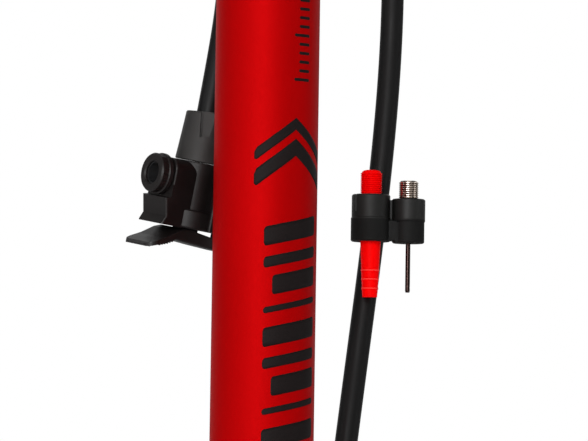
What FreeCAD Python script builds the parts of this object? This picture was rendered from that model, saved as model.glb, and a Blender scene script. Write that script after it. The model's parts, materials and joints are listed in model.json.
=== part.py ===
"""Floor bike pump: upright barrel with a long-stroke plunger, foot base with pressure gauge,
hose with a lever-locking valve head, and an accessory clip for the inflation nozzle and ball needle.
Units are millimetres. +Z is up, the floor is z = 0 and the barrel axis is x = y = 0.
The gauge side is -Y, the operator's right is +X, the valve head is docked behind the barrel at +Y."""
import FreeCAD, Part
import math
import os
from FreeCAD import Vector, Placement, Rotation

# ------------------------------------------------------------------ driving dimensions
BARREL_OD, BARREL_WALL = 40.0, 1.6
BARREL_Z0, BARREL_Z1 = 20.0, 560.0
ROD_D, ROD_WALL = 12.0, 1.3
BASE_HALF_X, BASE_HALF_Y = 120.0, 88.0
PAD_T = 3.0                       # rubber pads lift the base off the floor
PLATE_T = 10.0                    # base plate thickness above the pads
TOWER_TOP = 62.0
GAUGE_C = (0.0, -55.0, 30.0)      # centre of the dial
GAUGE_TILT = 25.0                 # dial leans towards the operator
CAP_Z0, CAP_Z1 = 532.0, 580.0
HANDLE_Z = 608.0
HANDLE_HALF = 122.0
HOSE_D = 9.0
HEAD_O = (-6.93, 40.0, 355.96)    # valve head reference point, on its centre line
HEAD_AXIS, HEAD_TURN = (0.8333, 0.55186, 0.03248), 10.8985   # the docked head leans to +X and towards the barrel at its top
CLIP_YAW = 35.0                   # the accessory clip is turned on the hose
CLIP_NOZZLE = (41.4, 51.5)        # in the clip's turned frame
CLIP_NEEDLE = (56.2, 51.5)
HOSE_ROUTE = [
    (40.0, 20.0, 31.0), (40.0, 20.0, 66.0), (40.6, 20.0, 108.0), (42.3, 20.2, 150.0),
    (46.2, 20.8, 195.0), (52.5, 22.0, 240.0), (60.9, 24.6, 286.0), (69.8, 27.7, 332.0),
    (77.7, 30.8, 376.0), (82.7, 33.2, 414.0), (84.8, 34.8, 448.0), (84.2, 35.4, 486.0),
    (83.6, 35.4, 527.0), (84.0, 35.4, 568.6), (60.6, 35.5, 592.0), (27.4, 35.8, 592.0),
    (4.0, 36.0, 568.6), (4.6, 36.0, 534.0), (6.6, 35.6, 502.0), (7.2, 35.0, 466.0),
    (4.6, 34.4, 432.0), (-2.32, 33.08, 399.16), (-5.49, 37.84, 369.46)]

BR = BARREL_OD / 2.0
BI = BR - BARREL_WALL
Z = Vector(0, 0, 1)
nodes = {}


# ------------------------------------------------------------------ helpers
def cyl(r, p, q):
    p, q = Vector(*p), Vector(*q)
    return Part.makeCylinder(r, (q - p).Length, p, q - p)


def ring(ro, ri, z0, z1, x=0.0, y=0.0):
    return cyl(ro, (x, y, z0), (x, y, z1)).cut(cyl(ri, (x, y, z0 - 1), (x, y, z1 + 1)))


def box(x0, y0, z0, x1, y1, z1):
    return Part.makeBox(x1 - x0, y1 - y0, z1 - z0, Vector(x0, y0, z0))


def poly_face(pts):
    pts = [Vector(*p) for p in pts]
    return Part.Face(Part.makePolygon(pts + [pts[0]]))


def rev(pts, axis=Z, at=(0, 0, 0)):
    """Revolves (radius, height) points about the axis; the profile lies in the XZ plane."""
    face = poly_face([(r, 0, h) for r, h in pts])
    s = face.revolve(Vector(0, 0, 0), Z, 360)
    if axis != Z:
        s.Placement = Placement(Vector(0, 0, 0), Rotation(Z, Vector(*axis)))
    s.translate(Vector(*at))
    return s


def fuse(*s):
    out = s[0]
    for o in s[1:]:
        out = out.fuse(o)
    return out.removeSplitter()


def round_edges(s, r, test):
    """Rounds the edges that pass the test, stepping the radius down if a corner refuses it."""
    edges = [e for e in s.Edges if test(e)]
    for k in (1.0, 0.7, 0.45, 0.25):
        try:
            out = s.makeFillet(r * k, edges)
            if out.isValid() and out.Volume > 0:
                return out
        except Exception:
            pass
    print("no rounding", r, len(edges))
    return s


def bb(e):
    b = e.BoundBox
    return b.XMin, b.YMin, b.ZMin, b.XMax, b.YMax, b.ZMax


def hull2(c1, r1, c2, r2, z0, z1):
    """Two circles joined by their outer tangents, extruded."""
    (x1, y1), (x2, y2) = c1, c2
    d = math.hypot(x2 - x1, y2 - y1)
    a = math.atan2(y2 - y1, x2 - x1)
    b = math.acos((r1 - r2) / d)
    def pt(x, y, r, t):
        return Vector(x + r * math.cos(t), y + r * math.sin(t), z0)
    A, B = pt(x1, y1, r1, a + b), pt(x2, y2, r2, a + b)
    C, D = pt(x2, y2, r2, a - b), pt(x1, y1, r1, a - b)
    far, near = pt(x2, y2, r2, a), pt(x1, y1, r1, a + math.pi)
    w = Part.Wire([Part.LineSegment(A, B).toShape(), Part.Arc(B, far, C).toShape(),
                   Part.LineSegment(C, D).toShape(), Part.Arc(D, near, A).toShape()])
    return Part.Face(w).extrude(Vector(0, 0, z1 - z0))


def extrude_y(pts, y0, y1):
    """A profile of (x, z) points, extruded from y0 to y1."""
    return poly_face([(x, y0, z) for x, z in pts]).extrude(Vector(0, y1 - y0, 0))


def add(name, s):
    solids = s.Solids
    assert solids, name
    out = solids[0] if len(solids) == 1 else Part.makeCompound(solids)
    assert out.isValid(), name
    nodes[name] = out


# ------------------------------------------------------------------ local frames
def gauge_place(s):
    s = s.copy()
    s.rotate(Vector(0, 0, 0), Vector(1, 0, 0), GAUGE_TILT)
    s.translate(Vector(*GAUGE_C))
    return s


def head_place(s):
    s = s.copy()
    s.rotate(Vector(0, 0, 0), Vector(*HEAD_AXIS), HEAD_TURN)
    s.translate(Vector(*HEAD_O))
    return s


def clip_place(s):
    s = s.copy()
    s.rotate(Vector(0, 0, 0), Z, -CLIP_YAW)
    return s


# ------------------------------------------------------------------ base casting
zb, zt = PAD_T, PAD_T + PLATE_T
plate = fuse(hull2((0, 0), 46, (90, 0), 30, zb, zt), hull2((0, 0), 46, (-90, 0), 30, zb, zt),
             hull2((0, 0), 46, (0, -54), 34, zb, zt), hull2((0, 0), 46, (0, 62), 26, zb, zt))
plate = round_edges(plate, 14.0, lambda e: abs(bb(e)[0] - bb(e)[3]) < 1e-6 and abs(bb(e)[1] - bb(e)[4]) < 1e-6 and bb(e)[5] - bb(e)[2] > 9)
plate = round_edges(plate, 4.5, lambda e: bb(e)[2] > zt - 1e-4)
tower = rev([(0, zb), (40, zb), (40, 12), (36.5, 15), (33.2, 20), (30.6, 27), (28.6, 36), (27.4, 46), (27.0, TOWER_TOP - 2.5),
             (26.2, TOWER_TOP - 0.7), (24.6, TOWER_TOP), (0, TOWER_TOP)])
ribs = []
for sx in (1, -1):
    for sy in (1, -1):
        prof = extrude_y([(20 * sx, 6), (20 * sx, 50), (27.5 * sx, 46), (44 * sx, 27), (66 * sx, 17.5), (100 * sx, 12), (100 * sx, 6)], -3.0, 3.0)
        prof.rotate(Vector(0, 0, 0), Z, 9.0 * sx * sy)
        ribs.append(prof)
rear_rib = extrude_y([(20, 6), (20, 44), (28, 40), (42, 24), (58, 16), (72, 12), (72, 6)], -3.5, 3.5)
rear_rib.rotate(Vector(0, 0, 0), Z, 90)
pod = gauge_place(cyl(33.0, (0, 0, -40), (0, 0, 8)))
pod = round_edges(pod, 1.6, lambda e: abs(e.Length - 2 * math.pi * 33) < 1 and e.BoundBox.ZMax > 30)
pod = pod.common(box(-60, -120, zb, 60, -8, 80))
outlet_boss = rev([(0, 5), (12.5, 5), (12.5, 14), (10.5, 24), (9.6, 26), (0, 26)], at=(HOSE_ROUTE[0][0], HOSE_ROUTE[0][1], 0))
base = fuse(plate, tower, *ribs, rear_rib, pod, outlet_boss)
base = base.cut(cyl(BR + 0.05, (0, 0, BARREL_Z0), (0, 0, 80)))
base = base.cut(cyl(8.1, (0, 0, 6.5), (0, 0, 21)))
base = base.cut(gauge_place(cyl(28.3, (0, 0, -12), (0, 0, 20))))
# air ways: valve chamber to the outlet and to the gauge
hx, hy = HOSE_ROUTE[0][0], HOSE_ROUTE[0][1]
base = base.cut(cyl(2.0, (0, 0, 8.7), (hx, hy, 8.7)))
base = base.cut(cyl(4.1, (hx, hy, 7.0), (hx, hy, 27)))
base = base.cut(cyl(1.6, (0, 0, 8.7), (0, -51, 8.7)))
gc = gauge_place(Part.Vertex(0, 0, -12)).Point
base = base.cut(cyl(1.6, (0, -49.9, 7.4), (gc.x, gc.y, gc.z + 0.5)))
# underside pockets in the wings, front and rear, with the pads' screw posts between them
PADS = [(96, 0), (-96, 0), (0, -70), (0, 68)]
for sx in (1, -1):
    base = base.cut(box(min(48 * sx, 78 * sx), -20, zb - 1, max(48 * sx, 78 * sx), 20, 6.0))
for x, y in PADS:
    base = base.cut(cyl(11.1, (x, y, zb - 1), (x, y, zb + 1.5)))
    base = base.cut(cyl(1.6, (x, y, zb), (x, y, 9.5)))
SCREW_AZ = (90, 210, 330)
SZ = 54.0
for a in SCREW_AZ:
    c, s = math.cos(math.radians(a)), math.sin(math.radians(a))
    base = base.cut(cyl(2.05, (18 * c, 18 * s, SZ), (30 * c, 30 * s, SZ)))
    base = base.cut(cyl(3.9, (24.6 * c, 24.6 * s, SZ), (34 * c, 34 * s, SZ)))
add("base", base)

pads = [fuse(ring(17 if abs(x) > 50 else 14, 2.6, 0, zb - 0.02, x, y), ring(10.9, 2.6, zb - 0.02, zb + 1.4, x, y)) for x, y in PADS]
pads = [round_edges(p, 0.8, lambda e: e.BoundBox.ZMax < 0.01 and e.Length > 60) for p in pads]
add("foot_pads", Part.makeCompound(pads))
screws = [fuse(cyl(2.5, (x, y, 1.0), (x, y, 2.6)), cyl(1.5, (x, y, 2.6), (x, y, 8.4))).cut(box(x - 0.4, y - 1.7, 0.5, x + 0.4, y + 1.7, 1.7)) for x, y in PADS]
add("foot_pad_screws", Part.makeCompound(screws))

bs = []
for a in SCREW_AZ:
    c, s = math.cos(math.radians(a)), math.sin(math.radians(a))
    k = fuse(cyl(2.0, (20.3 * c, 20.3 * s, SZ), (24.8 * c, 24.8 * s, SZ)), cyl(3.6, (24.7 * c, 24.7 * s, SZ), (28.2 * c, 28.2 * s, SZ)))
    hexa = Part.makePolygon([Vector(1.7 * math.cos(math.radians(60 * i)), 1.7 * math.sin(math.radians(60 * i)), 0) for i in range(7)])
    h = Part.Face(hexa).extrude(Vector(0, 0, 3))
    h.Placement = Placement(Vector(26.4 * c, 26.4 * s, SZ), Rotation(Z, Vector(c, s, 0)))
    bs.append(k.cut(h))
add("barrel_lock_screws", Part.makeCompound(bs))

# ------------------------------------------------------------------ barrel, seal and check valve
barrel = ring(BR, BI, BARREL_Z0 + 1.6, BARREL_Z1)
barrel = round_edges(barrel, 0.5, lambda e: e.Length > 100)
add("barrel", barrel)
add("barrel_seal", ring(BR - 0.1, 12.0, BARREL_Z0 + 0.05, BARREL_Z0 + 1.55))
vb = rev([(2.2, 19.9), (7.95, 19.9), (7.95, 17.0), (7.0, 17.0), (7.0, 9.6), (2.0, 9.6), (2.0, 10.8), (4.3, 10.8), (4.3, 16.2), (2.2, 18.4)])
add("check_valve_body", vb)
add("check_valve_ball", Part.makeSphere(2.9, Vector(0, 0, 16.45)))
helix = Part.makeHelix(0.97, 2.91, 2.2)
wire_end = Part.Wire([Part.Circle(Vector(2.2, 0, 0), Vector(0, 1, 0.07), 0.3).toShape()])
coil = Part.Wire(helix).makePipeShell([wire_end], True, False)
coil = coil.Solids[0] if coil.Solids else Part.Solid(coil)
print("spring", round(coil.Volume, 2), coil.isValid())
coil.translate(Vector(0, 0, 11.15))
add("check_valve_spring", coil)

# ------------------------------------------------------------------ top cap, rod bush, wiper, hose hook
cap = rev([(BR + 0.05, CAP_Z0), (23.2, CAP_Z0), (24.6, CAP_Z0 + 1.6), (25.0, 544), (25.0, CAP_Z1 - 4.5), (24.3, CAP_Z1 - 2.2),
           (22.2, CAP_Z1 - 0.5), (19.5, CAP_Z1), (9.05, CAP_Z1), (9.05, BARREL_Z1 + 0.05), (BR + 0.05, BARREL_Z1 + 0.05)])
for i in range(18):                # grip flutes for unscrewing the cap
    a = math.radians(20 * i)
    cap = cap.cut(cyl(1.6, (26.0 * math.cos(a), 26.0 * math.sin(a), 535.5), (26.0 * math.cos(a), 26.0 * math.sin(a), 552.5)))
add("top_cap", cap)
add("rod_bush", rev([(6.06, 552.0), (16.5, 552.0), (18.2, 554.0), (18.2, 559.95), (9.0, 559.95), (9.0, CAP_Z1 - 0.4), (6.06, CAP_Z1 - 0.4)]))
add("rod_wiper", rev([(6.08, CAP_Z1 - 0.35), (9.0, CAP_Z1 - 0.35), (9.0, CAP_Z1 + 0.05), (10.2, CAP_Z1 + 0.05), (9.6, CAP_Z1 + 1.6), (7.2, CAP_Z1 + 2.8), (6.08, CAP_Z1 + 3.0)]))

HK = Vector(44.0, 35.6, 552.0)      # centre of the hose's turn over the hook
def sector(ro, ri, a0, a1, y0, y1):
    def P(r, a):
        return Vector(HK.x + r * math.cos(math.radians(a)), y0, HK.z + r * math.sin(math.radians(a)))
    am = (a0 + a1) / 2.0
    w = Part.Wire([Part.Arc(P(ro, a0), P(ro, am), P(ro, a1)).toShape(), Part.LineSegment(P(ro, a1), P(ri, a1)).toShape(),
                   Part.Arc(P(ri, a1), P(ri, am), P(ri, a0)).toShape(), Part.LineSegment(P(ri, a0), P(ro, a0)).toShape()])
    return Part.Face(w).extrude(Vector(0, y1 - y0, 0))
saddle = fuse(sector(35.1, 31.6, 42, 138, 28.6, 42.6), sector(38.6, 31.6, 42, 138, 28.6, 30.4), sector(38.6, 31.6, 42, 138, 40.9, 42.6))
saddle = round_edges(saddle, 0.7, lambda e: True)
az = math.degrees(math.atan2(HK.y, HK.x))
arm = poly_face([(24, 0, 557), (24, 0, 572.5), (30, 0, 573), (47, 0, 583.0), (56.6, 0, 584.6), (61, 0, 584.6), (61, 0, 582.0), (52, 0, 578), (36, 0, 562), (29, 0, 557)])
arm = arm.extrude(Vector(0, 7, 0))
arm.translate(Vector(0, -3.5, 0))
arm = round_edges(arm, 1.2, lambda e: e.BoundBox.YLength < 0.01)
arm.rotate(Vector(0, 0, 0), Z, az)
collar = ring(27.8, 25.05, 556.5, 573.0)
collar = round_edges(collar, 0.9, lambda e: e.Length > 170)
hook = fuse(collar, arm).cut(cyl(25.05, (0, 0, 550), (0, 0, 579)))
core = sector(31.6, 10, 0, 180, 20, 50)
hook = fuse(hook, saddle)
add("hose_hook", hook)

# ------------------------------------------------------------------ plunger
r = ROD_D / 2.0
rod = ring(r, r - ROD_WALL, 30.0, 598.5)
add("piston_rod", round_edges(rod, 0.3, lambda e: e.Length > 36))
piston = rev([(3.1, 28.0), (17.4, 28.0), (18.05, 29.0), (18.05, 31.0), (15.6, 31.0), (15.6, 34.6), (18.05, 34.6), (18.05, 38.0), (16.9, 38.0),
              (16.9, 42.0), (18.05, 42.0), (18.05, 43.4), (17.4, 44.0), (9.5, 44.0), (9.5, 50.0), (6.05, 50.0), (6.05, 29.95), (3.1, 29.95)])
add("piston", piston)
add("piston_seal", rev([(15.65, 31.05), (18.0, 31.05), (18.36, 31.9), (18.36, 33.7), (18.0, 34.55), (15.65, 34.55)]))
add("piston_wear_ring", ring(18.33, 16.95, 38.05, 41.95).cut(box(16, -0.4, 37, 20, 0.4, 43)))
add("piston_screw", fuse(rev([(0, 24.2), (5.0, 24.2), (5.6, 24.8), (5.6, 27.95), (3.0, 27.95), (3.0, 46), (0, 46)])).cut(box(-3.6, -0.7, 24, 3.6, 0.7, 25.6)))
add("rod_lower_insert", ring(r - ROD_WALL - 0.03, 3.05, 30.0, 52.0))
add("rod_upper_insert", ring(r - ROD_WALL - 0.03, 3.05, 572.0, 598.5))
add("handle_bumper", round_edges(ring(12.5, r + 0.03, CAP_Z1 + 3.4, 590.0), 1.6, lambda e: e.Length > 60))

# handle: bar through the hub, grips, end caps and the bolt into the rod
bar = cyl(9.0, (-117, 0, HANDLE_Z), (117, 0, HANDLE_Z)).cut(cyl(7.2, (-118, 0, HANDLE_Z), (118, 0, HANDLE_Z))).cut(cyl(3.1, (0, 0, 590), (0, 0, 630)))
add("handle_bar", bar)
hub = rev([(0, 590.1), (13.5, 590.1), (15.0, 592.0), (16.6, 597), (19.0, 603), (20.0, 609), (19.4, 616), (17.0, 621.5), (12.0, 625.0), (0, 626.0)])
arms = rev([(0, -27), (13.6, -27), (14.2, -26), (14.8, -14), (14.8, 14), (14.2, 26), (13.6, 27), (0, 27)], axis=(1, 0, 0), at=(0, 0, HANDLE_Z))
hub = fuse(hub, arms)
hub = hub.cut(cyl(9.05, (-40, 0, HANDLE_Z), (40, 0, HANDLE_Z))).cut(cyl(r + 0.03, (0, 0, 585), (0, 0, 598.6))).cut(cyl(3.1, (0, 0, 598), (0, 0, 640))).cut(cyl(6.4, (0, 0, 620.5), (0, 0, 640)))
add("handle_hub", hub)


def grip(sx):
    """A moulded grip: a swelling outline with nine rounded grooves."""
    key = [(29.0, 17.6), (31.0, 17.6), (34.0, 16.3), (38, 15.3), (46, 14.9), (56, 15.2), (68, 15.9), (80, 16.2), (92, 15.8), (102, 15.0), (108, 14.9), (113, 15.8), (116.0, 16.4)]
    pts = []
    for i in range(98):
        x = 29.0 + 87.0 * i / 97
        k = max(n for n in range(len(key) - 1) if key[n][0] <= x + 1e-9)
        (x0, r0), (x1, r1) = key[k], key[k + 1]
        rr = r0 + (r1 - r0) * (x - x0) / (x1 - x0)
        rr -= sum(1.0 * math.exp(-((x - 42.0 - 8.0 * g) / 1.35) ** 2) for g in range(9))
        pts.append(Vector(rr, 0, x))
    curve = Part.BSplineCurve()
    curve.interpolate(pts)
    def seg(a, b):
        return Part.LineSegment(Vector(a[0], 0, a[1]), Vector(b[0], 0, b[1])).toShape()
    last = (pts[-1].x, 116.0)
    w = Part.Wire([seg((9.05, 28.0), (16.8, 28.0)), seg((16.8, 28.0), (pts[0].x, 29.0)), curve.toShape(),
                   seg(last, (16.0, 117.6)), seg((16.0, 117.6), (9.05, 117.6)), seg((9.05, 117.6), (9.05, 28.0))])
    s = Part.Face(w).revolve(Vector(0, 0, 0), Z, 360)
    s.Placement = Placement(Vector(0, 0, 0), Rotation(Z, Vector(sx, 0, 0)))
    s.translate(Vector(0, 0, HANDLE_Z))
    return s


add("grip_right", grip(1))
add("grip_left", grip(-1))
caps = [rev([(0, 117.1), (7.1, 117.1), (7.1, 117.7), (15.9, 117.7), (15.7, 119.6), (13.2, 121.4), (9.0, 122.0), (0, 122.0)], axis=(sx, 0, 0), at=(0, 0, HANDLE_Z)) for sx in (1, -1)]
caps = [fuse(c, rev([(0, 108.0), (7.0, 108.0), (7.15, 112.0), (7.15, 117.2), (0, 117.2)], axis=(sx, 0, 0), at=(0, 0, HANDLE_Z))) for c, sx in zip(caps, (1, -1))]
add("grip_end_caps", Part.makeCompound(caps))
bolt = rev([(0, 578.0), (2.6, 578.0), (3.0, 579.0), (3.0, 620.6), (6.1, 620.6), (6.1, 625.6), (5.2, 626.6), (0, 626.6)])
bolt = bolt.cut(Part.Face(Part.makePolygon([Vector(2.6 * math.cos(math.radians(60 * i)), 2.6 * math.sin(math.radians(60 * i)), 623.4) for i in range(7)])).extrude(Vector(0, 0, 5)))
add("handle_bolt", bolt)

# ------------------------------------------------------------------ pressure gauge
g = gauge_place
add("gauge_housing", g(rev([(0, -11.9), (28.1, -11.9), (28.1, 7.9), (26.4, 7.9), (26.4, -10.0), (0, -10.0)]).cut(cyl(1.6, (0, 0, -13), (0, 0, -9)))))
mv = fuse(ring(5.0, 1.3, -9.9, -2.2), box(4, -2.5, -9.9, 21, 2.5, -7.4),
          ring(21.0, 18.0, -9.0, -5.0).cut(poly_face([(0, 0, -12), (40, -6, -12), (40, -40, -12), (-4, -40, -12)]).extrude(Vector(0, 0, 10))))
add("gauge_movement", g(mv))
add("gauge_dial", g(ring(26.1, 1.35, -1.2, 0.0)))
hub_n = fuse(cyl(2.7, (0, 0, 1.2), (0, 0, 2.6)), cyl(1.25, (0, 0, -4.0), (0, 0, 1.3)),
             poly_face([(-1.5, -7, 1.5), (1.5, -7, 1.5), (1.0, 0, 1.5), (0.25, 19.5, 1.5), (-0.25, 19.5, 1.5), (-1.0, 0, 1.5)]).extrude(Vector(0, 0, 0.7)))
hub_n.rotate(Vector(0, 0, 0), Z, 135.0)
add("gauge_needle", g(hub_n))
lens = rev([(0, 7.6), (6, 7.5), (12, 7.15), (18, 6.5), (24.6, 5.6), (26.2, 5.3), (26.2, 6.9), (24.6, 7.2), (18, 8.1), (12, 8.75), (6, 9.1), (0, 9.2)])
add("gauge_lens", g(lens))
bezel = rev([(24.9, 8.05), (31.6, 8.05), (32.2, 8.8), (31.9, 10.6), (30.4, 11.7), (27.5, 12.0), (25.6, 11.2), (24.9, 10.0)])
for i in range(36):
    a = math.radians(10 * i)
    bezel = bezel.cut(cyl(0.5, (32.3 * math.cos(a), 32.3 * math.sin(a), 8.4), (32.3 * math.cos(a), 32.3 * math.sin(a), 11.2)))
add("gauge_bezel", g(bezel))

# ------------------------------------------------------------------ hose outlet fitting, hose and ferrules
fit = rev([(1.8, 12.0), (4.0, 12.0), (4.0, 26.05), (6.6, 26.05), (6.6, 30.6), (6.2, 30.95), (1.8, 30.95)])
hexa = Part.Face(Part.makePolygon([Vector(6.5 * math.cos(math.radians(60 * i)), 6.5 * math.sin(math.radians(60 * i)), 26.0) for i in range(7)])).extrude(Vector(0, 0, 6))
fit = fit.common(fuse(cyl(4.01, (0, 0, 10), (0, 0, 27)), hexa))
fit.translate(Vector(hx, hy, 0))
add("hose_fitting", fit)


def tube(route, d):
    pts = [Vector(*p) for p in route]
    n = len(pts)
    edges, radii, cur = [], [], pts[0]
    for i in range(1, n - 1):
        a, b = pts[i] - pts[i - 1], pts[i + 1] - pts[i]
        turn = a.getAngle(b)
        t = 0.45 * min(a.Length, b.Length)
        rad = t / math.tan(turn / 2.0)
        radii.append(rad)
        ua, ub = Vector(a).normalize(), Vector(b).normalize()
        p, q = pts[i] - ua * t, pts[i] + ub * t
        bis = (ub - ua).normalize()
        mid = pts[i] + bis * (rad / math.cos(turn / 2.0) - rad)
        edges.append(Part.LineSegment(cur, p).toShape())
        edges.append(Part.Arc(p, mid, q).toShape())
        cur = q
    edges.append(Part.LineSegment(cur, pts[-1]).toShape())
    wire = Part.Wire(edges)
    prof = Part.Wire([Part.Circle(pts[0], pts[1] - pts[0], d / 2.0).toShape()])
    s = wire.makePipeShell([prof], True, False)
    s = s.Solids[0] if s.Solids else Part.Solid(s)
    want = math.pi * d * d / 4.0 * wire.Length
    print("hose radii mm", [round(x) for x in radii], "length", round(wire.Length, 1), "volume ratio", round(s.Volume / want, 4))
    return s, wire


hose, hose_wire = tube(HOSE_ROUTE, HOSE_D)
add("hose", hose)
fer_a = rev([(4.6, 31.05), (6.0, 31.05), (6.3, 31.6), (6.3, 34.4), (5.7, 35.0), (5.7, 37.0), (6.3, 37.6), (6.3, 40.4), (5.7, 41.0), (5.7, 43.0), (6.2, 43.6), (6.0, 46.5), (5.2, 47.0), (4.6, 47.0)], at=(hx, hy, 0))
fer_b = head_place(ring(6.0, 4.65, 13.75, 25.5))
add("hose_ferrules", Part.makeCompound([fer_a, fer_b]))

# ------------------------------------------------------------------ valve head, in its own upright frame (mouth towards -x)
MZ = 6.4                           # mouth axis height
CAM = (12.5, 3.0)                  # lever pivot
SEAM, LEDGE, UNDER = 13.45, -5.05, -12.65
hb = cyl(10.0, (0, 0, UNDER), (0, 0, SEAM))
hb = round_edges(hb, 0.7, lambda e: e.BoundBox.ZMin > SEAM - 0.1)
lower = cyl(11.6, (0, 0, UNDER), (0, 0, LEDGE))
lower = round_edges(lower, 1.0, lambda e: e.BoundBox.ZMin > LEDGE - 0.1 or e.BoundBox.ZMax < UNDER + 0.1)
chin = extrude_y([(-15.1, 3.0), (-15.1, -1.9), (-17.6, -2.4), (-16.0, -9.3), (-17.2, -11.8), (-17.4, UNDER), (0, UNDER), (0, 3.0)], -8.4, 8.4)
chin = round_edges(chin, 0.9, lambda e: e.BoundBox.XMax < -14.8 and e.BoundBox.YLength < 0.01 and e.BoundBox.ZMax < -2)
rear = box(0, -9.5, UNDER, 17.5, 9.5, 11.1)
rear = round_edges(rear, 2.2, lambda e: e.BoundBox.XMin > 17)
pad = box(2.2, -12.7, UNDER, 12.4, -5.0, 9.0)
pad = round_edges(pad, 0.8, lambda e: e.BoundBox.YMax < -12)
neck = box(-15.1, -8.4, -1.0, 0, 8.4, SEAM - 0.1)
neck = round_edges(neck, 5.0, lambda e: e.BoundBox.XLength > 14 and e.BoundBox.ZMin > SEAM - 0.2)
neck = round_edges(neck, 0.7, lambda e: e.BoundBox.XMax < -15.0 and e.BoundBox.ZMax > 0)
detent = box(-4.4, -3.0, UNDER - 1.55, 3.6, 3.0, UNDER + 1)    # stops the closed lever from sliding sideways
hbody = fuse(hb, neck, lower, chin, rear, pad, detent)
hbody = hbody.cut(cyl(12.0, (0, 0, SEAM), (0, 0, 20)))
hbody = hbody.cut(cyl(5.5, (-16.5, 0, MZ), (-9.4, 0, MZ)))
hbody = hbody.cut(cyl(4.7, (-10.5, 0, MZ), (8.0, 0, MZ)))
hbody = hbody.cut(box(5.4, -5.2, -16, 19, 5.2, 10.2))
hbody = hbody.cut(cyl(1.53, (CAM[0], -14, CAM[1]), (CAM[0], 14, CAM[1])))
hbody = hbody.cut(box(5.0, -14.5, -16, 8.2, -11.0, 6.6)).cut(box(3.3, -11.6, -16, 9.9, -9.7, 6.6))
hbody = hbody.cut(cyl(2.0, (0, 0, MZ), (0, 0, 14.5)))
add("head_body", head_place(hbody))

# moulded details on the side of the head turned away from the barrel's front
SIDE, OUT = Vector(0.81915, -0.57358, 0), Vector(-0.57358, -0.81915, 0)
def side_tool(pts, c0, c1):
    return poly_face([SIDE * a + Z * b + OUT * c0 for a, b in pts]).extrude(OUT * (c1 - c0))


boot = rev([(4.85, 13.6), (9.15, 13.6), (9.45, 14.0), (9.2, 18.0), (8.9, 24.0), (8.62, 30.0), (8.4, 37.0), (4.85, 37.0)])
slope = poly_face([SIDE * a + Z * b + OUT * -14 for a, b in [(-14, 32.16), (14, 34.7), (14, 45), (-14, 45)]]).extrude(OUT * 28)
boot = boot.cut(slope)
boot = round_edges(boot, 0.8, lambda e: e.BoundBox.ZMin > 31 and e.BoundBox.XLength > 14)
boot = boot.cut(cyl(6.2, (0, 0, 13), (0, 0, 26)))
boot = boot.cut(side_tool([(-0.7, 23.4), (2.3, 24.0), (2.9, 28.5), (3.6, 38), (-2.6, 38)], 8.1, 12))
boot = boot.cut(side_tool([(-1.45, 23.2), (-0.7, 23.3), (-2.6, 38), (-3.35, 38)], 7.0, 12))
add("head_boot", head_place(boot))

collar = rev([(4.45, 15.35), (7.3, 15.35), (7.8, 15.55), (8.0, 16.0), (8.0, 17.3), (7.6, 17.7), (7.6, 20.2), (7.1, 20.9), (5.0, 20.9), (4.45, 20.4)], axis=(-1, 0, 0), at=(0, 0, MZ))
for i in range(20):
    a = math.radians(18 * i)
    collar = collar.cut(cyl(0.45, (-17.9, 7.8 * math.cos(a), MZ + 7.8 * math.sin(a)), (-20.1, 7.8 * math.cos(a), MZ + 7.8 * math.sin(a))))
collar = collar.cut(cyl(5.45, (-19.6, 0, MZ), (-15.0, 0, MZ)))
add("mouth_collar", head_place(collar))
gask = cyl(5.4, (-19.55, 0, MZ), (-11.6, 0, MZ)).cut(cyl(3.95, (-22, 0, MZ), (-11, 0, MZ)))
add("mouth_gasket", head_place(gask))
foll = fuse(cyl(4.65, (-9.3, 0, MZ), (3.0, 0, MZ)), cyl(3.4, (3.0, 0, MZ), (7.0, 0, MZ)))
foll = foll.cut(cyl(1.2, (-10, 0, MZ), (-1, 0, MZ)))
add("gasket_pusher", head_place(foll))

prof = [(-21.6, -22.2), (-16.3, -20.3), (-13.6, -19.4), (-10.2, -17.8), (6.9, -19.0), (17.2, -19.5), (17.2, -15.2), (13.5, -15.2), (6.4, -14.4), (-1.4, -13.35), (-2.4, -13.0),
        (-5.75, -13.0), (-8.8, -14.0), (-15.0, -17.75), (-18.2, -19.2), (-21.2, -20.5), (-22.1, -21.4)]
lev = extrude_y(prof, -9.6, 9.6)
lev = lev.common(fuse(box(-18, -9.6, -30, 20, 9.6, 0), box(-22.5, -5.6, -30, -17, 5.6, 0), cyl(4.0, (-18, 5.6, -30), (-18, 5.6, 0)), cyl(4.0, (-18, -5.6, -30), (-18, -5.6, 0))))
lev = round_edges(lev, 1.1, lambda e: e.BoundBox.YLength < 0.01 and e.BoundBox.XLength > 16 and e.BoundBox.ZMax < -17.5)
lev = round_edges(lev, 0.45, lambda e: e.BoundBox.YLength < 0.01 and e.BoundBox.ZMin > -17.9 and e.BoundBox.XMax < -2.3 and e.BoundBox.XMin > -15.2)
lev = lev.cut(box(-6.1, -3.4, -14.6, 5.0, 3.4, -12))
upright = extrude_y([(13.6, -18.6), (17.0, -18.6), (17.3, -6), (17.2, 3.0), (12.5, 3.0), (11.2, -1.0), (13.8, -10)], -2.6, 2.6)
cam = cyl(4.9, (CAM[0], -4.9, CAM[1] + 1.8), (CAM[0], 4.9, CAM[1] + 1.8))
lev = fuse(lev, upright, cam)
ribs_l = []
for i in range(9):
    x = -20.2 + 1.1 * i
    z = -22.2 + (x + 21.6) * 0.358 if x < -16.3 else (-20.3 + (x + 16.3) * 0.333 if x < -13.6 else -19.4 + (x + 13.6) * 0.47)
    w = 9.45 if x > -17.6 else 7.6
    ribs_l.append(cyl(0.42, (x, -w, z), (x, w, z)))
lev = fuse(lev, *ribs_l)
lev = lev.cut(cyl(1.56, (CAM[0], -8, CAM[1]), (CAM[0], 8, CAM[1])))
add("head_lever", head_place(lev))
add("lever_pin", head_place(cyl(1.5, (CAM[0], -9.4, CAM[1]), (CAM[0], 9.4, CAM[1]))))

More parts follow.
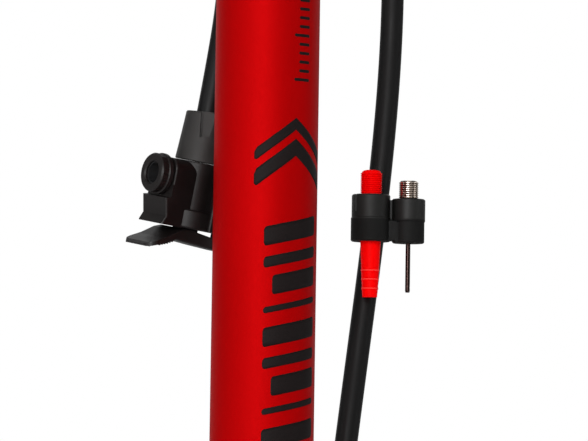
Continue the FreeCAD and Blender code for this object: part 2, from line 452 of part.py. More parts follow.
# dock rail bonded to the back of the barrel
saddle_d = ring(22.0, BR + 0.02, 334, 372).common(box(-9.0, 5, 330, 9.0, 40, 380))
rail = fuse(box(5.3, -22.0, -12.0, 7.9, -10.9, 6.2), box(3.6, -11.3, -12.0, 9.6, -9.95, 6.2))
rail = head_place(rail).cut(cyl(BR + 0.02, (0, 0, 300), (0, 0, 400)))
add("head_dock", fuse(saddle_d, rail))

# ------------------------------------------------------------------ accessory clip, inflation nozzle and ball needle
nx, ny = CLIP_NOZZLE
mx, my = CLIP_NEEDLE
ch = Vector(43.3, 65.5, 350.1)      # hose centre in the clip's frame
hd = Vector(0.1137, 0.160, 1.0).normalize()
body = rev([(0, 340.9), (7.4, 340.9), (7.85, 341.35), (7.85, 350.05), (7.6, 350.4), (7.6, 358.9), (7.15, 359.4), (0, 359.4)], at=(nx, ny, 0))
right = rev([(0, 340.4), (5.95, 340.4), (6.35, 340.8), (6.35, 348.7), (6.6, 349.0), (6.6, 357.35), (6.15, 357.8), (0, 357.8)], at=(mx, my, 0))
web = fuse(box(nx + 4, ny - 3.4, 341.3, mx - 4, ny + 3.6, 349.0), box(nx + 4, ny - 0.8, 348.0, mx - 4, ny + 3.6, 357.0))
bridge = box(nx - 4.5, ny + 2, 342.6, nx + 7.0, ny + 10.0, 358.0)
cring = Part.makeCylinder(6.9, 30, ch - hd * 15, hd).common(box(30, 50, 342.4, 60, 80, 358.2))
clip = fuse(body, right, web, bridge, cring)
clip = clip.cut(box(nx - 6.6, ny - 9, 352.6, nx - 5.7, ny - 3.0, 361))
clip = clip.cut(box(mx - 6.8, my - 9, 340.0, mx - 3.9, my - 3.4, 348.9))
clip = clip.cut(Part.makeCylinder(4.85, 60, ch - hd * 30, hd))
gap = box(-3.3, 0, -30, 3.3, 20, 30)
gap.Placement = Placement(ch, Rotation(Z, hd))
clip = clip.cut(gap)
clip = clip.cut(cyl(4.3, (nx, ny, 350.25), (nx, ny, 365))).cut(cyl(4.14, (nx, ny, 335), (nx, ny, 351)))
clip = clip.cut(cyl(3.95, (mx, my, 345.5), (mx, my, 365))).cut(cyl(1.5, (mx, my, 335), (mx, my, 346)))
add("accessory_clip", clip_place(clip))

pts = [(1.3, 319.0), (3.0, 319.0)]
for zc in (322.4, 326.0, 329.5):
    rr = 3.0 + (zc - 319.0) * 1.05 / 22.0
    pts += [(rr - 0.02, zc - 0.5), (rr + 0.17, zc - 0.35), (rr + 0.17, zc + 0.35), (rr + 0.02, zc + 0.5)]
pts += [(4.05, 341.0), (4.08, 350.25), (4.08, 350.3), (4.24, 350.3), (4.24, 359.6)]
zt_, pitch = 360.2, 0.8
while zt_ < 367.6:
    pts += [(3.82, zt_ - 0.2), (4.26, zt_ + 0.1), (4.26, zt_ + 0.3), (3.82, zt_ + 0.6 - 0.02)]
    zt_ += pitch
pts += [(3.85, 367.9), (3.6, 368.5), (3.0, 368.9), (2.2, 369.1), (1.3, 369.1)]
noz = rev(pts)
noz = noz.cut(box(-4, -0.7, 318, 4, 0.7, 320.6))
noz.translate(Vector(nx, ny, 0))
add("inflation_nozzle", clip_place(noz))

pts = [(0.45, 321.0), (0.75, 321.0), (0.95, 321.6), (0.95, 344.6), (1.2, 345.0), (1.2, 345.55), (3.85, 345.55), (3.85, 357.9)]
zt_ = 358.4
while zt_ < 364.4:
    pts += [(3.45, zt_ - 0.2), (3.86, zt_ + 0.1), (3.86, zt_ + 0.3), (3.45, zt_ + 0.6 - 0.02)]
    zt_ += pitch
pts += [(3.4, 364.7), (3.1, 365.0), (1.7, 365.0), (1.7, 348.0), (0.45, 347.0)]
needle = rev(pts)
needle = needle.cut(cyl(0.4, (0, 0, 323), (3, 0, 323)))
needle.translate(Vector(mx, my, 0))
add("ball_needle", clip_place(needle))

# ------------------------------------------------------------------ write
os.makedirs("parts", exist_ok=True)
for name, s in nodes.items():
    s.exportStep("parts/" + name + ".step")
print(len(nodes), "nodes")
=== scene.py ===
import bpy, bmesh, math, json, random
from mathutils import Vector, Matrix


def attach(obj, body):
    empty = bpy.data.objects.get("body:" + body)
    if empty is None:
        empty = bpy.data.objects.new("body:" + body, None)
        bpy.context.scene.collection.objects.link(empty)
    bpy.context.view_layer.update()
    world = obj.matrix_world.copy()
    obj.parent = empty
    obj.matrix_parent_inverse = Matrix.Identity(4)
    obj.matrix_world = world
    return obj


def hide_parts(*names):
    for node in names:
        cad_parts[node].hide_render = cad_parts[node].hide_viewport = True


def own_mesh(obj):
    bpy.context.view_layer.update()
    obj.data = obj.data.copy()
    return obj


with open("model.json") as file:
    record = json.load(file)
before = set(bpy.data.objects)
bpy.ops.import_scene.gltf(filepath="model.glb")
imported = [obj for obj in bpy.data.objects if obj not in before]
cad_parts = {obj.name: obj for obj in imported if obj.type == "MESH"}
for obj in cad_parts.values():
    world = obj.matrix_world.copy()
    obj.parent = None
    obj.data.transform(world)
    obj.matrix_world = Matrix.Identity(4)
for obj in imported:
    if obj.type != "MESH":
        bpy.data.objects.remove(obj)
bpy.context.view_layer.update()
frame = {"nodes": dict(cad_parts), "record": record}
N = frame["nodes"]
MM = 0.001
rng = random.Random(11)

# ---------------------------------------------------------------- camera
yaw, pitch, roll = math.radians(35.0), math.radians(4.0), math.radians(0.86)
flat = Vector((math.sin(yaw), math.cos(yaw), 0.0))
fwd = Vector((flat.x * math.cos(pitch), flat.y * math.cos(pitch), math.sin(pitch)))
right0 = Vector((math.cos(yaw), -math.sin(yaw), 0.0))
up0 = right0.cross(fwd)
right = right0 * math.cos(roll) + up0 * math.sin(roll)
up = up0 * math.cos(roll) - right0 * math.sin(roll)
DIST, PXMM = 2000.0, 2.605
target = Vector((0, 0, 345.0)) + right * (29.1 / PXMM)
place = (target - fwd * DIST) * MM
cam_data = bpy.data.cameras.new("cam")
cam = bpy.data.objects.new("cam", cam_data)
bpy.context.scene.collection.objects.link(cam)
cam.matrix_world = Matrix((
    (right.x, up.x, -fwd.x, place.x),
    (right.y, up.y, -fwd.y, place.y),
    (right.z, up.z, -fwd.z, place.z),
    (0, 0, 0, 1)))
cam_data.sensor_width = 36.0
cam_data.lens = PXMM * DIST * 36.0 / 588.0
cam_data.clip_start, cam_data.clip_end = 0.05, 60.0
bpy.context.scene.camera = cam

# ---------------------------------------------------------------- the dial's numbers, as unit-size meshes
def glyphs(text):
    fc = bpy.data.curves.new("digits", "FONT")
    fc.body, fc.size, fc.extrude = text, 1.0, 1.0
    fc.align_x, fc.align_y = "CENTER", "CENTER"
    fc.resolution_u = 3
    fo = bpy.data.objects.new("digits", fc)
    bpy.context.scene.collection.objects.link(fo)
    me = bpy.data.meshes.new_from_object(fo.evaluated_get(bpy.context.evaluated_depsgraph_get()))
    V, F = [tuple(v.co) for v in me.vertices], [tuple(q.vertices) for q in me.polygons]
    bpy.data.objects.remove(fo)
    bpy.data.meshes.remove(me)
    bpy.data.curves.remove(fc)
    return V, F


GLYPHS = {t: glyphs(t) for t in sorted({str(n) for n in range(0, 161, 20)} | {str(n) for n in range(0, 12, 2)})}

# ---------------------------------------------------------------- hose: one smooth line through the route
ROUTE = [
    (40.0, 20.0, 31.0), (40.0, 20.0, 66.0), (40.6, 20.0, 108.0), (42.3, 20.2, 150.0),
    (46.2, 20.8, 195.0), (52.5, 22.0, 240.0), (60.9, 24.6, 286.0), (69.8, 27.7, 332.0),
    (77.7, 30.8, 376.0), (82.7, 33.2, 414.0), (84.8, 34.8, 448.0), (84.2, 35.4, 486.0),
    (83.6, 35.4, 527.0), (84.0, 35.4, 568.6), (60.6, 35.5, 592.0), (27.4, 35.8, 592.0),
    (4.0, 36.0, 568.6), (4.6, 36.0, 534.0), (6.6, 35.6, 502.0), (7.2, 35.0, 466.0),
    (4.6, 34.4, 432.0), (-2.32, 33.08, 399.16), (-5.49, 37.84, 369.46)]
HOSE_D = 9.0 * MM
cd = bpy.data.curves.new("hose_line", "CURVE")
cd.dimensions = "3D"
sp = cd.splines.new("NURBS")
sp.points.add(len(ROUTE) - 1)
for i, p in enumerate(ROUTE):
    sp.points[i].co = (p[0] * MM, p[1] * MM, p[2] * MM, 1.0)
    sp.points[i].radius = HOSE_D / 2      # the curve's own box grows by this, so it holds the real radius
sp.order_u = 3
sp.use_endpoint_u = True
sp.resolution_u = 24
cd.bevel_depth = 1.0                      # times each point's radius
cd.bevel_resolution = 10
cd.use_fill_caps = True
hose = bpy.data.objects.new("hose_rubber_tube", cd)
bpy.context.scene.collection.objects.link(hose)
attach(hose, "root")
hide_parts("hose")


# ---------------------------------------------------------------- materials
class G:
    """Small helper for building node trees."""
    def __init__(self, name):
        self.mat = bpy.data.materials.new(name)
        self.mat.use_nodes = True
        self.t = self.mat.node_tree
        for n in list(self.t.nodes):
            self.t.nodes.remove(n)
        self.out = self.n("ShaderNodeOutputMaterial")
        self.b = self.n("ShaderNodeBsdfPrincipled")
        self.l(self.b.outputs[0], self.out.inputs["Surface"])
        self.co = self.n("ShaderNodeTexCoord").outputs["Object"]

    def n(self, kind, **props):
        node = self.t.nodes.new(kind)
        for k, v in props.items():
            setattr(node, k, v)
        return node

    def l(self, a, b):
        self.t.links.new(a, b)

    def set(self, **vals):
        for k, v in vals.items():
            self.b.inputs[k.replace("_", " ")].default_value = v

    def noise(self, scale, detail=3.0, rough=0.5, stretch=None, distortion=0.0):
        n = self.n("ShaderNodeTexNoise")
        n.inputs["Scale"].default_value = scale
        n.inputs["Detail"].default_value = detail
        n.inputs["Roughness"].default_value = rough
        n.inputs["Distortion"].default_value = distortion
        src = self.co
        if stretch:
            m = self.n("ShaderNodeMapping")
            m.inputs["Scale"].default_value = stretch
            self.l(self.co, m.inputs["Vector"])
            src = m.outputs[0]
        self.l(src, n.inputs["Vector"])
        return n.outputs["Fac"]

    def voronoi(self, scale, feature="F1", stretch=None):
        n = self.n("ShaderNodeTexVoronoi", feature=feature)
        n.inputs["Scale"].default_value = scale
        src = self.co
        if stretch:
            m = self.n("ShaderNodeMapping")
            m.inputs["Scale"].default_value = stretch
            self.l(self.co, m.inputs["Vector"])
            src = m.outputs[0]
        self.l(src, n.inputs["Vector"])
        return n.outputs["Distance"]

    def ramp(self, fac, *stops):
        r = self.n("ShaderNodeValToRGB")
        e = r.color_ramp.elements
        while len(e) < len(stops):
            e.new(0.5)
        for el, (p, c) in zip(e, stops):
            el.position = p
            el.color = (c, c, c, 1) if not hasattr(c, "__len__") else (*c, 1)
        self.l(fac, r.inputs[0])
        return r.outputs[0]

    def map(self, fac, lo, hi, a=0.0, b=1.0):
        m = self.n("ShaderNodeMapRange")
        m.inputs[1].default_value, m.inputs[2].default_value = a, b
        m.inputs[3].default_value, m.inputs[4].default_value = lo, hi
        self.l(fac, m.inputs[0])
        return m.outputs[0]

    def math(self, op, a, b=None):
        m = self.n("ShaderNodeMath", operation=op)
        for i, v in enumerate((a, b)):
            if v is None:
                continue
            if isinstance(v, (int, float)):
                m.inputs[i].default_value = v
            else:
                self.l(v, m.inputs[i])
        return m.outputs[0]

    def mix(self, fac, c1, c2, blend="MIX"):
        m = self.n("ShaderNodeMix", data_type="RGBA", blend_type=blend)
        if isinstance(fac, (int, float)):
            m.inputs[0].default_value = fac
        else:
            self.l(fac, m.inputs[0])
        for i, c in ((6, c1), (7, c2)):
            if hasattr(c, "__len__"):
                m.inputs[i].default_value = (*c, 1)
            else:
                self.l(c, m.inputs[i])
        return m.outputs[2]

    def bump(self, height, strength, distance=0.0002, chain=None):
        n = self.n("ShaderNodeBump")
        n.inputs["Strength"].default_value = strength
        n.inputs["Distance"].default_value = distance
        self.l(height, n.inputs["Height"])
        if chain is not None:
            self.l(chain, n.inputs["Normal"])
        return n.outputs[0]

    def edge_wear(self, radius=0.0006):
        """1 at convex edges, from pointiness."""
        g = self.n("ShaderNodeNewGeometry")
        return self.map(g.outputs["Pointiness"], 0.0, 1.0, 0.505, 0.56)


def plastic(name, col, rough=0.42, grain=9000, strength=0.25, var=0.25, spec=0.5, dust=0.0, wear=0.10, rvar=0.08):
    g = G(name)
    big = g.noise(55, 3, 0.55)
    fine = g.noise(grain, 2, 0.6)
    lo = tuple(c * (1 - var) for c in col)
    hi = tuple(min(1, c * (1 + var) + 0.001) for c in col)
    base = g.mix(g.map(big, 0, 1, 0.3, 0.7), lo, hi)
    if wear:
        base = g.mix(g.math("MULTIPLY", g.edge_wear(), wear), base, tuple(min(1, c * 2.2 + 0.05) for c in col))
    g.l(base, g.b.inputs["Base Color"])
    r = g.math("ADD", g.map(big, rough - rvar, rough + rvar, 0.3, 0.7), g.map(fine, -0.03, 0.03, 0.3, 0.7))
    g.l(r, g.b.inputs["Roughness"])
    n1 = g.bump(fine, strength, 0.00005)
    n2 = g.bump(g.noise(320, 2, 0.5), 0.06, 0.0003, n1)
    g.l(n2, g.b.inputs["Normal"])
    g.set(Specular_IOR_Level=spec)
    return g


def rubber(name, col, rough=0.62, grain=5200, strength=0.35, spec=0.35):
    g = G(name)
    big = g.noise(38, 4, 0.6)
    fine = g.noise(grain, 3, 0.7)
    base = g.mix(g.map(big, 0, 1, 0.3, 0.7), tuple(c * 0.75 for c in col), tuple(c * 1.3 for c in col))
    scuff = g.ramp(g.noise(140, 4, 0.7, stretch=(1, 1, 0.25)), (0.0, 0.0), (0.62, 0.0), (0.75, 1.0))
    base = g.mix(g.math("MULTIPLY", scuff, 0.25), base, tuple(c * 2.4 + 0.004 for c in col))
    g.l(base, g.b.inputs["Base Color"])
    g.l(g.math("ADD", g.map(big, rough - 0.06, rough + 0.06, 0.3, 0.7), g.map(fine, -0.05, 0.05, 0.3, 0.7)), g.b.inputs["Roughness"])
    g.l(g.bump(fine, strength, 0.00006), g.b.inputs["Normal"])
    g.set(Specular_IOR_Level=spec)
    return g


def metal(name, col, rough=0.25, brush=(1, 1, 1), scale=2600, strength=0.15, var=0.12, stain=0.15):
    g = G(name)
    lines = g.noise(scale, 4, 0.65, stretch=brush)
    big = g.noise(60, 3, 0.6)
    base = g.mix(g.map(big, 0, 1, 0.3, 0.7), tuple(c * (1 - var) for c in col), tuple(min(1, c * (1 + var * 0.5)) for c in col))
    base = g.mix(g.math("MULTIPLY", g.ramp(g.noise(200, 5, 0.7), (0.0, 0.0), (0.55, 0.0), (0.8, 1.0)), stain), base, tuple(c * 0.55 for c in col))
    g.l(base, g.b.inputs["Base Color"])
    g.l(g.math("ADD", g.map(lines, rough - 0.07, rough + 0.07, 0.3, 0.7), g.map(big, -0.03, 0.03, 0.3, 0.7)), g.b.inputs["Roughness"])
    g.l(g.bump(lines, strength, 0.00004), g.b.inputs["Normal"])
    g.set(Metallic=1.0)
    return g


MATS = {}


def thread_band(g, z0, z1, pitch, at):
    """Painted shade for the roots of a thread, by height: 1 in the roots between z0 and z1 (metres), 0 elsewhere."""
    sep = g.n("ShaderNodeSeparateXYZ")
    g.l(g.co, sep.inputs[0])
    z = sep.outputs[2]
    ph = g.math("MULTIPLY", g.math("SUBTRACT", z, at), 2 * math.pi / pitch)
    wave = g.map(g.math("COSINE", ph), 0.0, 1.0, 0.15, 0.85)
    inside = g.math("MULTIPLY", g.math("GREATER_THAN", z, z0), g.math("LESS_THAN", z, z1))
    return g.math("MULTIPLY", wave, inside), z


def red_moulded():
    """Bright pigmented red plastic with painted light: a faint red glow (emission) of its own though it is no lamp,
    painted shade in the thread roots and painted highlight lines on the sealing ridges.
    """
    g = plastic("red_moulded", (0.90, 0.0001, 0.0004), 0.50, 6000, 0.12, 0.02, 0.03, wear=0.0)
    # painted shade: the thread roots are mixed towards a darker red
    root_shade_mask, z = thread_band(g, 0.3596, 0.3678, 0.0008, 0.3608)
    link = g.b.inputs["Base Color"].links[0].from_socket
    g.l(g.mix(g.math("MULTIPLY", root_shade_mask, 0.6), link, (0.42, 0.0001, 0.0004)), g.b.inputs["Base Color"])
    for zc in (0.3224, 0.3260, 0.3295):       # painted highlight lines on the crests of the three sealing ridges
        line = g.math("LESS_THAN", g.math("ABSOLUTE", g.math("SUBTRACT", z, zc)), 0.00018)
        g.l(g.mix(g.math("MULTIPLY", line, 0.35), g.b.inputs["Base Color"].links[0].from_socket, (1.0, 0.16, 0.13)), g.b.inputs["Base Color"])
    # painted glow: a faint red emission makes the plastic give light of its own
    g.b.inputs["Emission Color"].default_value = (1.0, 0.0, 0.0005, 1)
    g.b.inputs["Emission Strength"].default_value = 0.08
    return g.mat


# barrel: satin red lacquer over drawn tube
g = G("red_lacquer")
big = g.noise(22, 3, 0.5)
base = g.mix(g.map(big, 0, 1, 0.3, 0.7), (0.405, 0.0001, 0.0006), (0.445, 0.0002, 0.0010))
draw = g.noise(1400, 3, 0.6, stretch=(1, 1, 0.02))
base = g.mix(g.math("MULTIPLY", g.map(draw, 0, 1, 0.3, 0.7), 0.10), base, (0.36, 0.0001, 0.0006))
g.l(base, g.b.inputs["Base Color"])
peel = g.noise(900, 2, 0.5)
fleck = g.noise(6500, 2, 0.6)
g.l(g.math("ADD", g.map(peel, 0.56, 0.62, 0.3, 0.7), g.map(big, -0.02, 0.03, 0.3, 0.7)), g.b.inputs["Roughness"])
g.l(g.bump(fleck, 0.05, 0.00002, g.bump(peel, 0.04, 0.00006, g.bump(draw, 0.04, 0.00003))), g.b.inputs["Normal"])
g.set(Metallic=0.42, Specular_IOR_Level=0.03)
MATS["red_barrel"] = g.mat

# printed decal ink
g = G("black_ink")
ink = g.noise(2400, 3, 0.6)
g.l(g.mix(g.map(ink, 0, 1, 0.3, 0.7), (0.004, 0.003, 0.003), (0.012, 0.007, 0.007)), g.b.inputs["Base Color"])
g.l(g.map(ink, 0.55, 0.7, 0.3, 0.7), g.b.inputs["Roughness"])
g.l(g.bump(ink, 0.08, 0.00003), g.b.inputs["Normal"])
g.set(Specular_IOR_Level=0.12)
MATS["ink"] = g.mat

MATS["head_nylon"] = plastic("satin_black_nylon", (0.0050, 0.0032, 0.0030), 0.44, 7000, 0.2, 0.2, 0.30, wear=0.04).mat
MATS["boot_nylon"] = plastic("boot_nylon", (0.021, 0.0195, 0.0185), 0.55, 6000, 0.3, 0.2, 0.32, wear=0.05).mat
g = plastic("clip_nylon", (0.0050, 0.0050, 0.0045), 0.50, 3600, 0.60, 0.35, 0.24, wear=0.08)
sep = g.n("ShaderNodeSeparateXYZ")
g.l(g.co, sep.inputs[0])
lower = g.map(sep.outputs[2], 1.0, 0.0, 0.3494, 0.3500)      # below the split line the clip is darker and rougher
g.l(g.mix(lower, g.b.inputs["Base Color"].links[0].from_socket, (0.0016, 0.0016, 0.0014)), g.b.inputs["Base Color"])
g.l(g.math("ADD", g.b.inputs["Roughness"].links[0].from_socket, g.math("MULTIPLY", lower, 0.22)), g.b.inputs["Roughness"])
MATS["clip_nylon"] = g.mat
MATS["black_nylon"] = plastic("black_nylon", (0.012, 0.0118, 0.012), 0.46, 5200, 0.40, 0.25, 0.45, wear=0.06).mat
MATS["hose_rubber"] = rubber("extruded_rubber", (0.0028, 0.0027, 0.0028), 0.52, 4200, 0.16, 0.20).mat
MATS["grip_rubber"] = rubber("grip_rubber", (0.018, 0.018, 0.02), 0.68, 3600, 0.55, 0.3).mat
MATS["rubber_pad"] = rubber("pad_rubber", (0.02, 0.02, 0.021), 0.75, 3000, 0.5, 0.3).mat
MATS["seal_rubber"] = rubber("seal_rubber", (0.012, 0.012, 0.013), 0.5, 6000, 0.2, 0.45).mat
MATS["cast_base"] = plastic("textured_powder_coat", (0.021, 0.021, 0.023), 0.52, 2600, 0.8, 0.3, 0.45, wear=0.06).mat
MATS["red_plastic"] = red_moulded()
MATS["acetal"] = plastic("acetal", (0.80, 0.80, 0.77), 0.35, 6000, 0.15, 0.05, 0.5, wear=0.0).mat
MATS["zinc_screw"] = metal("zinc_plate", (0.62, 0.62, 0.60), 0.32).mat
MATS["steel_bright"] = metal("bright_steel", (0.70, 0.70, 0.71), 0.22).mat
MATS["spring_steel"] = metal("spring_steel", (0.50, 0.50, 0.52), 0.3).mat
MATS["chrome_rod"] = metal("chromed_rod", (0.74, 0.75, 0.77), 0.12, (1, 1, 0.04), 3000, 0.05, 0.05, 0.05).mat
MATS["aluminium"] = metal("satin_aluminium", (0.72, 0.72, 0.74), 0.34, (0.05, 1, 1), 3200, 0.12).mat
MATS["brass"] = metal("machined_brass", (0.72, 0.52, 0.22), 0.24, (1, 1, 6), 2200, 0.15).mat
g = metal("nickel_plate", (0.80, 0.70, 0.62), 0.24, (1, 1, 6), 2600, 0.1, 0.1, 0.2)
root_shade_mask, zz = thread_band(g, 0.3578, 0.3646, 0.0008, 0.3590)
col = g.b.inputs["Base Color"].links[0].from_socket
shaft = g.math("LESS_THAN", zz, 0.3448)
col = g.mix(shaft, col, (0.035, 0.021, 0.019))
# painted shade: the thread roots are darkened
col = g.mix(root_shade_mask, col, (0.035, 0.02, 0.014))
g.l(col, g.b.inputs["Base Color"])
MATS["nickel"] = g.mat
g = plastic("dial_face", (0.86, 0.86, 0.84), 0.55, 5000, 0.05, 0.03, 0.3, wear=0.0)
MATS["dial_print"] = g.mat
MATS["needle_red"] = plastic("needle_paint", (0.62, 0.01, 0.01), 0.35, 5000, 0.1, 0.08, 0.4, wear=0.0).mat
g = G("clear_lens")
h = g.noise(900, 3, 0.6)
g.l(g.map(h, 0.015, 0.06, 0.3, 0.75), g.b.inputs["Roughness"])
g.l(g.bump(g.noise(90, 2, 0.5), 0.02, 0.0001), g.b.inputs["Normal"])
g.set(Base_Color=(0.97, 0.985, 0.99, 1), Transmission_Weight=1.0, IOR=1.2)
MATS["lens_clear"] = g.mat

slot_of = {s["node"]: s["material_slot"] for s in frame["record"]["subparts"]}
for name, o in N.items():
    o.data.materials.clear()
    o.data.materials.append(MATS[{"head_boot": "boot_nylon", "accessory_clip": "clip_nylon"}.get(name, slot_of[name])])
hose.data.materials.append(MATS["hose_rubber"])


# ---------------------------------------------------------------- mesh helpers
def obj_from(name, verts, faces, slot_name, body="root", mat=None, smooth=True):
    me = bpy.data.meshes.new(name)
    me.from_pydata(verts, [], faces)
    me.validate()
    bm = bmesh.new()
    bm.from_mesh(me)
    bmesh.ops.remove_doubles(bm, verts=bm.verts, dist=1e-7)
    bmesh.ops.recalc_face_normals(bm, faces=bm.faces)
    bm.to_mesh(me)
    bm.free()
    for p in me.polygons:
        p.use_smooth = smooth
    ob = bpy.data.objects.new(name, me)
    bpy.context.scene.collection.objects.link(ob)
    me.materials.append(mat or MATS[slot_name])
    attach(ob, body)
    return ob


def shell_grid(pts_fn, nu, nv, r0, r1):
    """A closed thin patch on the barrel: pts_fn(u, v) gives (arc mm from the front line, z mm)."""
    verts, faces = [], []
    for r in (r0, r1):
        for i in range(nu + 1):
            for j in range(nv + 1):
                s, z = pts_fn(i / nu, j / nv)
                a = s / 20.0
                verts.append((r * math.sin(a) * MM, -r * math.cos(a) * MM, z * MM))
    k = (nu + 1) * (nv + 1)
    def idx(i, j, t):
        return t * k + i * (nv + 1) + j
    for i in range(nu):
        for j in range(nv):
            faces.append((idx(i, j, 1), idx(i + 1, j, 1), idx(i + 1, j + 1, 1), idx(i, j + 1, 1)))
            faces.append((idx(i, j, 0), idx(i, j + 1, 0), idx(i + 1, j + 1, 0), idx(i + 1, j, 0)))
    for i in range(nu):
        faces.append((idx(i, 0, 0), idx(i + 1, 0, 0), idx(i + 1, 0, 1), idx(i, 0, 1)))
        faces.append((idx(i, nv, 0), idx(i, nv, 1), idx(i + 1, nv, 1), idx(i + 1, nv, 0)))
    for j in range(nv):
        faces.append((idx(0, j, 0), idx(0, j, 1), idx(0, j + 1, 1), idx(0, j + 1, 0)))
        faces.append((idx(nu, j, 0), idx(nu, j + 1, 0), idx(nu, j + 1, 1), idx(nu, j, 1)))
    return verts, faces


def bar(s0, s1, zc, h, slant, rc=1.2, lift=0.06):
    """A slanted bar with rounded ends."""
    def f(u, v):
        s = s0 + (s1 - s0) * u
        d = min(s - s0, s1 - s)
        c = 1.0 if d >= rc else (1 - rc / (h / 2)) + (rc / (h / 2)) * math.sqrt(max(0.0, 1 - ((rc - d) / rc) ** 2))
        return s, zc + slant * s + (v - 0.5) * h * c
    n = max(10, int(abs(s1 - s0) / 0.35))
    return shell_grid(f, n, 4, 19.99, 20.0 + lift)


def chevron(half, z0, arm, thick, lift=0.06):
    """An upward chevron: its legs rise to the middle."""
    def f(u, v):
        s = -half + 2 * half * u
        rise = arm * (1 - abs(s) / half)
        t = thick * (1.0 if half - abs(s) > 1.0 else 0.55 + 0.45 * (half - abs(s)))
        return s, z0 + rise + (v - 0.5) * t
    return shell_grid(f, 96, 5, 19.99, 20.0 + lift)


def merge(parts):
    V, F = [], []
    for v, f in parts:
        o = len(V)
        V += v
        F += [tuple(i + o for i in q) for q in f]
    return V, F


v, f = merge([chevron(16.6, 359.5, 12.5, 6.6), chevron(16.6, 368.5, 12.5, 4.6)])
obj_from("decal_chevrons", v, f, "black_nylon", mat=MATS["ink"])
parts = []
z = 344.0
k = 0
while z > 150:
    h = (7.4, 4.2, 7.4, 2.4)[k % 4]
    wide = (12.4, 12.4, 9.0, 12.4)[k % 4]
    parts.append(bar(-wide, 12.4, z - h / 2, h, 0.22))
    z -= h + (4.2, 3.4, 4.2, 5.4)[k % 4]
    k += 1
v, f = merge(parts)
obj_from("decal_bars", v, f, "black_nylon", mat=MATS["ink"])
parts = []
for i in range(22):
    z = 398.0 + i * 3.4
    long_ = i % 5 == 0
    parts.append(bar(-1.2 if long_ else 1.0, 6.4, z, 1.15, 0.0, 0.4))
v, f = merge(parts)
obj_from("decal_scale", v, f, "black_nylon", mat=MATS["ink"])

# ---------------------------------------------------------------- check valve spring: the CAD coil as its own object with its own mesh
cad_spring = N["check_valve_spring"]
spring = bpy.data.objects.new("valve_spring_coil", cad_spring.data.copy())
bpy.context.scene.collection.objects.link(spring)
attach(spring, "root")
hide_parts("check_valve_spring")
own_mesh(spring)

# ---------------------------------------------------------------- gauge dial: ticks, numbers and a coloured arc
TILT = math.radians(25.0)
SWEEP0, SWEEP = math.radians(225.0), math.radians(270.0)
FULL = 160.0


def on_dial(x, y, z):
    """A point of the dial's own plane (mm, y up the dial) as a point of the frame in metres."""
    return (x * MM, (-55.0 + y * math.cos(TILT) - z * math.sin(TILT)) * MM, (30.0 + y * math.sin(TILT) + z * math.cos(TILT)) * MM)


def dial_angle(value):
    return SWEEP0 - SWEEP * value / FULL


def dial_ring(r0, r1, v0, v1, z1=0.05, n=48):
    """A closed thin arc on the dial from value v0 to v1."""
    V, F = [], []
    for i in range(n + 1):
        a = dial_angle(v0 + (v1 - v0) * i / n)
        for r, z in ((r0, -0.02), (r1, -0.02), (r1, z1), (r0, z1)):
            V.append(on_dial(r * math.cos(a), r * math.sin(a), z))
    for i in range(n):
        for j in range(4):
            F.append((i * 4 + j, i * 4 + (j + 1) % 4, (i + 1) * 4 + (j + 1) % 4, (i + 1) * 4 + j))
    F.append((0, 3, 2, 1))
    F.append((n * 4, n * 4 + 1, n * 4 + 2, n * 4 + 3))
    return V, F


def tick(value, r0, r1, w0, w1, z1=0.06):
    """A tapered tick, narrower towards the middle."""
    a = dial_angle(value)
    c, s_ = math.cos(a), math.sin(a)
    V = []
    for z in (-0.02, z1):
        for r, w in ((r0, w0), (r1, w1)):
            for t in (-0.5, 0.5):
                V.append(on_dial(r * c - w * t * s_, r * s_ + w * t * c, z))
    return V, [(0, 1, 3, 2), (4, 6, 7, 5), (0, 4, 5, 1), (2, 3, 7, 6), (0, 2, 6, 4), (1, 5, 7, 3)]


def digits(text, x, y, size, z1=0.06):
    """Numbers as a flat raised mesh, centred on (x, y) of the dial."""
    V, F = GLYPHS[text]
    return [on_dial(x + px * size, y + py * size, z1 - 0.04 + 0.04 * pz) for px, py, pz in V], F


parts = [dial_ring(23.6, 24.1, 0, FULL)]
for k in range(81):
    value = 2.0 * k
    if k % 10 == 0:
        parts.append(tick(value, 20.2, 23.7, 0.50, 0.85))
    elif k % 5 == 0:
        parts.append(tick(value, 21.2, 23.7, 0.40, 0.60))
    else:
        parts.append(tick(value, 22.3, 23.7, 0.22, 0.28))
for value in range(0, 161, 20):
    a = dial_angle(value)
    parts.append(digits(str(value), 16.9 * math.cos(a), 16.9 * math.sin(a), 4.3))
v, f = merge(parts)
obj_from("dial_scale", v, f, "dial_print", mat=MATS["ink"], smooth=False)
parts = [dial_ring(12.6, 12.9, 0, FULL)]
for k in range(12):
    parts.append(tick(k * 14.5038, 10.9, 12.8, 0.34, 0.46))
for k in range(0, 12, 2):
    a = dial_angle(k * 14.5038)
    parts.append(digits(str(k), 8.9 * math.cos(a), 8.9 * math.sin(a), 2.7))
parts.append(dial_ring(22.4, 23.62, 120.0, FULL, 0.03))
v, f = merge(parts)
obj_from("dial_inner_scale", v, f, "needle_red", smooth=False)

# ---------------------------------------------------------------- stage and light
def area(name, loc, aim, size, size_y, power, col=(1, 1, 1)):
    l = bpy.data.lights.new(name, "AREA")
    l.shape = "RECTANGLE"
    l.size, l.size_y = size, size_y
    l.energy = power
    l.color = col
    o = bpy.data.objects.new(name, l)
    bpy.context.scene.collection.objects.link(o)
    loc, aim = Vector(loc), Vector(aim)
    o.location = loc
    o.rotation_mode = "QUATERNION"
    o.rotation_quaternion = (aim - loc).to_track_quat("-Z", "Y")
    o.visible_camera = False
    return o


mid = Vector((0.02, 0.01, 0.34))
def around(deg_from_camera, elevation, dist):
    """A point seen from the object: 0 is towards the camera, positive to the picture's right."""
    a = yaw - math.radians(deg_from_camera)
    e = math.radians(elevation)
    return mid + Vector((-math.sin(a) * math.cos(e), -math.cos(a) * math.cos(e), math.sin(e))) * dist


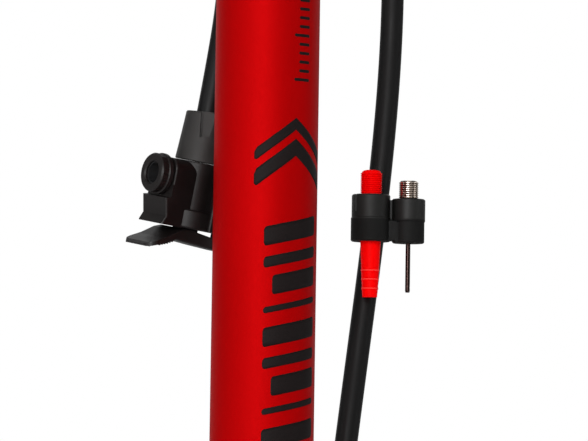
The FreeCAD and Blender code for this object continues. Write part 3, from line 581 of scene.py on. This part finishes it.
area("key", around(-12, 12, 2.3), mid, 0.9, 1.1, 37)
area("left_soft", around(-58, 16, 2.2), mid, 0.8, 1.2, 8)
area("fill", around(26, 22, 2.8), mid, 1.6, 1.2, 9)
area("side_left", around(-90, 10, 2.0), mid, 0.5, 1.5, 1.5)
area("side_right", around(80, 10, 2.0), mid, 0.6, 1.5, 5.0)
area("top", mid + Vector((0, 0, 1.9)), mid, 1.2, 1.2, 6)

floor_me = bpy.data.meshes.new("floor")
R = 14.0
floor_me.from_pydata([(-R, -R, 0), (R, -R, 0), (R, R, 0), (-R, R, 0)], [], [(0, 1, 2, 3)])
floor = bpy.data.objects.new("floor", floor_me)
bpy.context.scene.collection.objects.link(floor)
g = G("floor_paint")
g.l(g.mix(g.map(g.noise(3, 3, 0.5), 0, 1, 0.3, 0.7), (0.84, 0.84, 0.84), (0.88, 0.88, 0.88)), g.b.inputs["Base Color"])
g.l(g.map(g.noise(40, 3, 0.5), 0.6, 0.75, 0.3, 0.7), g.b.inputs["Roughness"])
paper = g.n("ShaderNodeEmission")
paper.inputs[0].default_value, paper.inputs[1].default_value = (1, 1, 1, 1), 0.92
ray = g.n("ShaderNodeLightPath")
both = g.n("ShaderNodeMixShader")
g.l(g.math("MULTIPLY", ray.outputs["Is Camera Ray"], 0.55), both.inputs[0])
g.l(g.b.outputs[0], both.inputs[1])
g.l(paper.outputs[0], both.inputs[2])
g.l(both.outputs[0], g.out.inputs["Surface"])
floor_me.materials.append(g.mat)

world = bpy.data.worlds.new("studio")
bpy.context.scene.world = world
world.use_nodes = True
wt = world.node_tree
for n in list(wt.nodes):
    wt.nodes.remove(n)
wo = wt.nodes.new("ShaderNodeOutputWorld")
bg_cam = wt.nodes.new("ShaderNodeBackground")
bg_cam.inputs[0].default_value = (1, 1, 1, 1)
bg_cam.inputs[1].default_value = 1.0
bg_env = wt.nodes.new("ShaderNodeBackground")
tc = wt.nodes.new("ShaderNodeTexCoord")
dot = wt.nodes.new("ShaderNodeVectorMath")
dot.operation = "DOT_PRODUCT"
dot.inputs[1].default_value = (flat.x, flat.y, 0.0)
wt.links.new(tc.outputs["Generated"], dot.inputs[0])
rampn = wt.nodes.new("ShaderNodeMapRange")
rampn.interpolation_type = "SMOOTHSTEP"
rampn.inputs[1].default_value, rampn.inputs[2].default_value = 0.35, 0.95
rampn.inputs[3].default_value, rampn.inputs[4].default_value = 0.07, 0.95
wt.links.new(dot.outputs["Value"], rampn.inputs[0])
wt.links.new(rampn.outputs[0], bg_env.inputs[1])
bg_env.inputs[0].default_value = (1, 1, 1, 1)
lp = wt.nodes.new("ShaderNodeLightPath")
mx = wt.nodes.new("ShaderNodeMixShader")
wt.links.new(lp.outputs["Is Camera Ray"], mx.inputs[0])
wt.links.new(bg_env.outputs[0], mx.inputs[1])
wt.links.new(bg_cam.outputs[0], mx.inputs[2])
wt.links.new(mx.outputs[0], wo.inputs["Surface"])

bpy.context.scene.view_settings.view_transform = "Standard"
bpy.context.scene.view_settings.look = "None"
